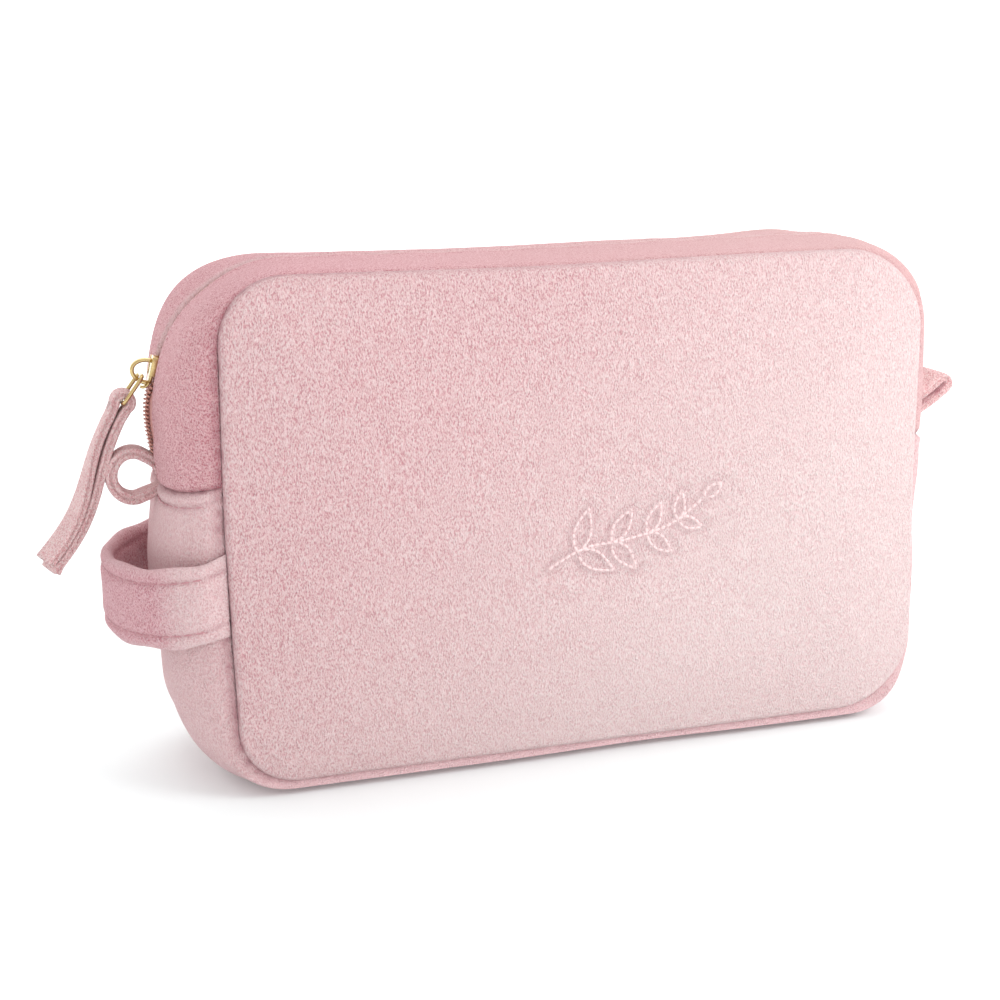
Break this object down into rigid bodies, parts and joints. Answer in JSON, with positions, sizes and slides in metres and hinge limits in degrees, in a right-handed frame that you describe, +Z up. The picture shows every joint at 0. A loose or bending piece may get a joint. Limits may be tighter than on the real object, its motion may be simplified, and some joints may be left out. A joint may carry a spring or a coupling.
{
  "type": "makeup bag",
  "caption": "Boxy soft velvet pouch that stands on its base, with a zip over the top, a side grab handle and a loop at each end of the zip.",
  "frame": {"origin": "middle of the flat base that the bag stands on", "axes": "+Z up, -Y the front panel, +X towards the end without the handle"},
  "size_m": [0.308, 0.087, 0.156],
  "materials": {
    "velvet": "short pile velvet bonded to thin foam, matt with a pale sheen",
    "lining": "smooth woven lining",
    "binding": "bias tape",
    "zip_tape": "woven twill tape",
    "zip_coil": "nylon monofilament",
    "gold_metal": "polished pale gold plating"
  },
  "bodies": {
    "bag": {"front_panel_lower": "velvet", "back_panel": "velvet", "lower_gusset": "velvet", "zip_gusset_back": "velvet", "side_handle": "velvet", "end_loop_left": "velvet", "end_loop_right": "velvet", "lining_front_lower": "lining", "lining_back": "lining", "lining_gusset_lower": "lining", "lining_gusset_back": "lining", "binding_front_lower": "binding", "binding_back": "binding", "zip_tape_back": "zip_tape", "zip_coil_back": "zip_coil"},
    "front_flap": {"front_panel_upper": "velvet", "zip_gusset_front": "velvet", "zip_tape_front": "zip_tape", "zip_coil_front": "zip_coil", "lining_front_upper": "lining", "lining_gusset_front": "lining", "binding_front_upper": "binding"},
    "slider": {"slider_body": "gold_metal", "slider_crown": "gold_metal"},
    "link": {"pull_link": "gold_metal"},
    "pull": {"pull_strap": "velvet"}
  },
  "joints": [
    {"name": "mouth_open", "type": "hinge", "parent": "bag", "child": "front_flap", "pos_m": [0, -0.0442, 0.093], "axis": [1, 0, 0], "range_deg": [0, 35]},
    {"name": "slider_travel", "type": "hinge", "parent": "bag", "child": "slider", "pos_m": [-0.084, 0, 0.114], "axis": [0, 1, 0], "range_deg": [0, 75]},
    {"name": "link_swing", "type": "hinge", "parent": "slider", "child": "link", "pos_m": [-0.12873, 0, 0.12313], "axis": [0, 1, 0], "range_deg": [0, 88]},
    {"name": "pull_swing", "type": "hinge", "parent": "link", "child": "pull", "pos_m": [-0.13474, 0, 0.11527], "axis": [0, 1, 0], "range_deg": [0, 60]}
  ]
}
